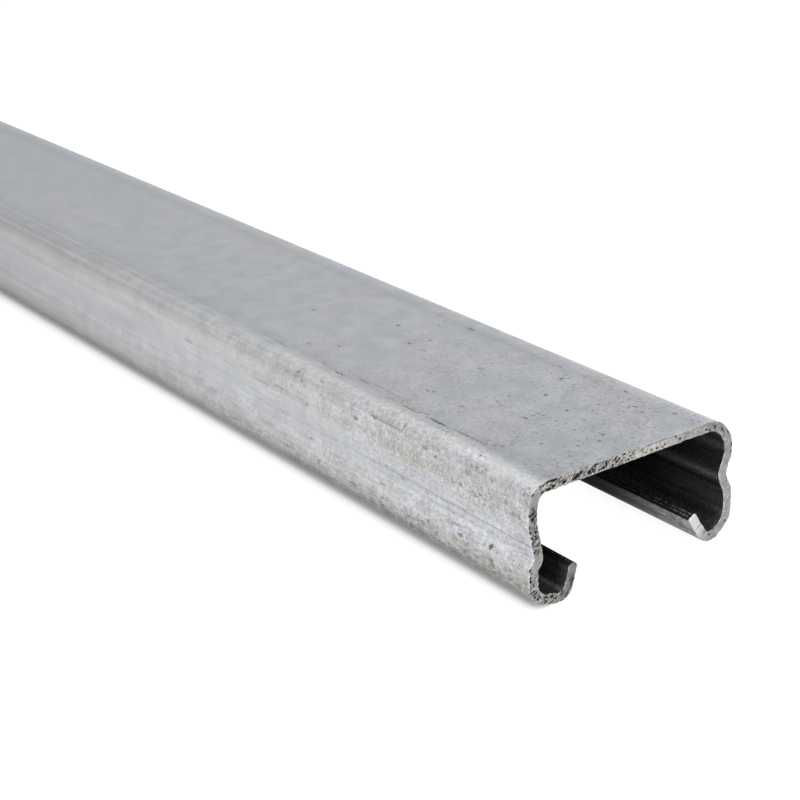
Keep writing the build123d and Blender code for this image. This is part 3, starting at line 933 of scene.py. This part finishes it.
def edge_sides(mesh):
    """The material slots that meet at each edge, by the edge's key."""
    sides = {}
    for face in mesh.polygons:
        for key in face.edge_keys:
            sides.setdefault(key, set()).add(face.material_index)
    return sides


def wear_lips(piece, channel):
    """Rounds the slit edges along both lips."""
    mesh = piece.data
    for hand, wear in ((-1, channel.left_wear), (1, channel.right_wear)):
        sides = edge_sides(mesh)
        with editing(piece, "EDGE", lambda edge: (
                SLIT in sides[edge.key] and sides[edge.key] & {OUTSIDE, INSIDE}
                and hand * mesh.vertices[edge.vertices[0]].co.x > 0)):
            bpy.ops.mesh.bevel(offset=wear, segments=3, affect="EDGES", clamp_overlap=True)


# Chips in the sawn ends: place across and up, reach across and up, and depth, in millimetres.
CHIPS = (
    (-14.9, 18.8, 1.0, 0.45, 0.35), (-11.9, 18.9, 0.5, 0.3, 0.2), (9.5, 17.7, 0.6, 0.3, 0.2),
    (-18.7, 12.4, 0.4, 0.6, 0.25), (-18.8, 3.2, 0.45, 0.7, 0.3), (-16.3, 1.6, 0.7, 0.3, 0.25),
)
CHIP_BAND = 0.12 * MM  # how far in from an end a vertex may lie for a chip to move it


def tear_chips(piece, y, inward):
    """Tears the chips into one sawn end, each in two steps, so that it is deepest at its middle."""
    for x, z, wide, high, depth in ((size * MM for size in chip) for chip in CHIPS):
        for share in (1.0, 0.6):
            with editing(piece, "VERT", lambda vert: (
                    abs(vert.co.y - y) < CHIP_BAND
                    and math.hypot((vert.co.x - x) / wide, (vert.co.z - z) / high) < share)):
                bpy.ops.transform.translate(value=(0.0, inward * depth / 2, 0.0))


def dress_ends(piece, channel):
    """Divides the sawn faces across the sheet, wears the edges round them, tears a few chips and brings
    what the rag pushed out of the channel's box back to it."""
    mesh = piece.data
    thick = channel.sheet * (1 - SLACK)
    for y in (LOW.y, HIGH.y):
        flat = lies_in(mesh, 1, y)
        with editing(piece, "EDGE", lambda edge: flat(edge) and thick < (
                mesh.vertices[edge.vertices[0]].co - mesh.vertices[edge.vertices[1]].co).length):
            bpy.ops.mesh.subdivide(number_cuts=4)
    sides = edge_sides(mesh)
    with editing(piece, "EDGE", lambda edge: SAWN in sides[edge.key] and len(sides[edge.key]) > 1):
        bpy.ops.mesh.bevel(offset=channel.burr, segments=2, affect="EDGES", clamp_overlap=True)
    for y, inward, seed in ((LOW.y, 1, 4), (HIGH.y, -1, 9)):
        with editing(piece, "VERT", lambda vert: abs(vert.co.y - y) < channel.burr * (1 + SLACK)):
            bpy.ops.transform.vertex_random(offset=channel.rag, uniform=0.0, normal=0.0, seed=seed)
        tear_chips(piece, y, inward)
    for axis in range(3):
        flatten = [0.0 if k == axis else 1.0 for k in range(3)]
        for bound, way in ((LOW, -1), (HIGH, 1)):
            with editing(piece, "VERT", lambda vert: way * (vert.co[axis] - bound[axis]) > 0):
                bpy.ops.transform.resize(value=flatten, center_override=bound)
    for face in mesh.polygons:
        inset = min(abs(face.center.y - LOW.y), abs(face.center.y - HIGH.y))
        if inset < channel.burr * (1 - SLACK):
            face.material_index = SAWN


class OBJECT_OT_rolled_channel(bpy.types.Operator):
    """Roll the channel from one strip of sheet"""
    bl_idname = "strut.rolled_channel"
    bl_label = "Rolled channel"

    def execute(self, context):
        scene = context.scene
        channel = scene.channel_sizes
        for name, inputs, maker in EFFECTS:
            new_effect(name, inputs, maker)
        deselect()
        piece = rolled_strip(scene)
        for finish in FINISHES:
            piece.data.materials.append(finish(scene.finishes))
        thicken(piece, channel.sheet)
        wear_lips(piece, channel)
        dress_ends(piece, channel)
        measure_strip(piece, scene)
        bpy.ops.object.shade_smooth_by_angle(angle=math.radians(30))
        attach(piece, "root")
        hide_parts("strut_channel")
        return {"FINISHED"}


# ---------------------------------------------------------------- stage

def camera_matrix(stage):
    """The camera's place and turn, from its azimuth, elevation and lean about its aim."""
    turn, lift, lean = stage.azimuth, stage.elevation, stage.roll
    back = Vector((math.sin(turn) * math.cos(lift), -math.cos(turn) * math.cos(lift), math.sin(lift)))
    level = Vector((math.cos(turn), math.sin(turn), 0.0))
    above = back.cross(level)
    right = level * math.cos(lean) + above * math.sin(lean)
    up = above * math.cos(lean) - level * math.sin(lean)
    aim = Vector((stage.aim_x, LOW.y + stage.aim_in, HIGH.z))
    turned = Matrix((right, up, back)).transposed().to_4x4()
    return Matrix.Translation(aim + back * stage.distance) @ turned


def add_camera(stage):
    bpy.ops.object.camera_add()
    camera = bpy.context.object
    camera.name = "camera"
    camera.matrix_world = camera_matrix(stage)
    camera.data.lens = stage.lens
    camera.data.sensor_width = 36.0
    camera.data.clip_start = 0.01
    bpy.context.scene.camera = camera


# The softboxes: place, aim and size of each.
LAMPS = {
    "overhead": ((0.0, 0.1, 0.9), (0.0, 0.0, 0.0), (1.2, 1.6)),
    "right": ((0.3, LOW.y + 0.1, 0.12), (0.0, LOW.y + 0.1, 0.01), (0.2, 0.4)),
    "front": ((-0.05, LOW.y - 0.35, 0.05), (0.0, LOW.y, 0.01), (0.25, 0.1)),
    "left": ((-0.3, LOW.y, 0.06), (0.0, LOW.y + 0.03, 0.01), (0.25, 0.12)),
}


def add_lamp(name, place, aim, size, watts):
    bpy.ops.object.light_add(type="AREA", location=place)
    lamp = bpy.context.object
    lamp.name = name
    lamp.rotation_euler = (Vector(aim) - Vector(place)).to_track_quat("-Z", "Y").to_euler()
    lamp.data.shape = "RECTANGLE"
    lamp.data.size, lamp.data.size_y = size
    lamp.data.energy = watts


def white_rays(nodes):
    """The rays that the floor and the studio look white to, and those of them that a surface mirrors."""
    mirrored = nodes.add("ShaderNodeLightPath", out="Is Glossy Ray")
    return nodes.add("ShaderNodeLightPath", out="Is Camera Ray").max(mirrored), mirrored


# How light the floor is where its surroundings leave it a given share of the light.
FLOOR_SHADES = ((0, 0.12), (0.2, 0.22), (0.3, 0.33), (0.375, 0.49), (0.455, 0.66), (0.61, 0.8),
                (0.84, 0.9), (1, 1))
UNDER_FADE = (4 * MM, 26 * MM)  # in from each end, over which the floor dims under the channel


def finish_floor():
    """White to the eye, with the soft shadow that gathers where the feet touch it. What the channel
    mirrors of the floor under it is dim."""
    nodes = new_finish("floor_white")
    across, along, _ = nodes.add("ShaderNodeTexCoord", out="Object").parts()
    reach = along.ramp(LOW.y, HIGH.y, 2 * MM, 6.5 * MM, "LINEAR")
    touch = nodes.add("ShaderNodeAmbientOcclusion", {"Distance": reach}, "AO", samples=16)
    depth = (across.ramp(LOW.x + 3 * MM, LOW.x + 5 * MM, 1, 0.1)
             * along.ramp(LOW.y - 2 * MM, LOW.y + 3 * MM, 0.35, 1))
    shade = 1 - (1 - touch.curve(FLOOR_SHADES)) * depth
    white, mirrored = white_rays(nodes)
    start, end = UNDER_FADE
    # painted shade: what the zinc mirrors of the floor under the channel is dimmed, as the shade under it
    under = (abs(across).ramp(HIGH.x - 3 * MM, HIGH.x - 1 * MM, 1, 0)
             * along.ramp(LOW.y + start, LOW.y + end) * along.ramp(HIGH.y - end, HIGH.y - start, 1, 0))
    seen = nodes.add("ShaderNodeEmission", {"Strength": shade * (1 - under * mirrored * 0.9)})
    faint = nodes.add("ShaderNodeBsdfDiffuse", {"Color": (0.15, 0.15, 0.15)})
    bounce = nodes.add("ShaderNodeBsdfDiffuse", {"Color": (0.5, 0.5, 0.5)})
    shown = nodes.add("ShaderNodeAddShader", {0: seen, 1: faint})
    both = nodes.add("ShaderNodeMixShader", {0: white, 1: bounce, 2: shown})
    nodes.add("ShaderNodeOutputMaterial", {"Surface": both})
    return nodes.material


def add_world(scene):
    """An even studio: white where it is seen or mirrored, and a plain fill for the rest."""
    scene.world = bpy.data.worlds.new("studio")
    scene.world.use_nodes = True
    nodes = Nodes(scene.world.node_tree)
    strength = white_rays(nodes)[0].ramp(0, 1, scene.stage_sizes.fill, 1)
    seen = nodes.add("ShaderNodeBackground", {"Color": (1, 1, 1), "Strength": strength})
    nodes.add("ShaderNodeOutputWorld", {"Surface": seen})


class OBJECT_OT_stage(bpy.types.Operator):
    """Set the floor, the lamps and the camera"""
    bl_idname = "strut.stage"
    bl_label = "Stage"

    def execute(self, context):
        scene = context.scene
        deselect()
        add_camera(scene.stage_sizes)
        bpy.ops.mesh.primitive_plane_add(size=6.0, location=(0.0, 0.0, LOW.z))
        floor = context.object
        floor.name = "floor"
        floor.data.materials.append(finish_floor())
        add_world(scene)
        for name, (place, aim, size) in LAMPS.items():
            add_lamp(name, place, aim, size, getattr(scene.stage_sizes, name))
        scene.view_settings.view_transform = "Standard"
        return {"FINISHED"}


class VIEW3D_PT_strut(bpy.types.Panel):
    """Lists the steps that build the channel"""
    bl_label = "Strut channel"
    bl_space_type = "VIEW_3D"
    bl_region_type = "UI"
    bl_category = "Strut channel"

    def draw(self, context):
        self.layout.operator(OBJECT_OT_rolled_channel.bl_idname)
        self.layout.operator(OBJECT_OT_stage.bl_idname)


CLASSES = (LeftLegSizes, RightLegSizes, ChannelSizes, Finishes, StageSizes, OBJECT_OT_rolled_channel,
           OBJECT_OT_stage, VIEW3D_PT_strut)
GROUPS = {"left_leg": LeftLegSizes, "right_leg": RightLegSizes, "channel_sizes": ChannelSizes,
          "finishes": Finishes, "stage_sizes": StageSizes}


def register():
    for cls in CLASSES:
        bpy.utils.register_class(cls)
    for name, group in GROUPS.items():
        setattr(bpy.types.Scene, name, bpy.props.PointerProperty(type=group))


def unregister():
    for name in GROUPS:
        delattr(bpy.types.Scene, name)
    for cls in reversed(CLASSES):
        bpy.utils.unregister_class(cls)


def main():
    register()
    bpy.ops.strut.rolled_channel()
    bpy.ops.strut.stage()


if __name__ == "__main__":
    main()
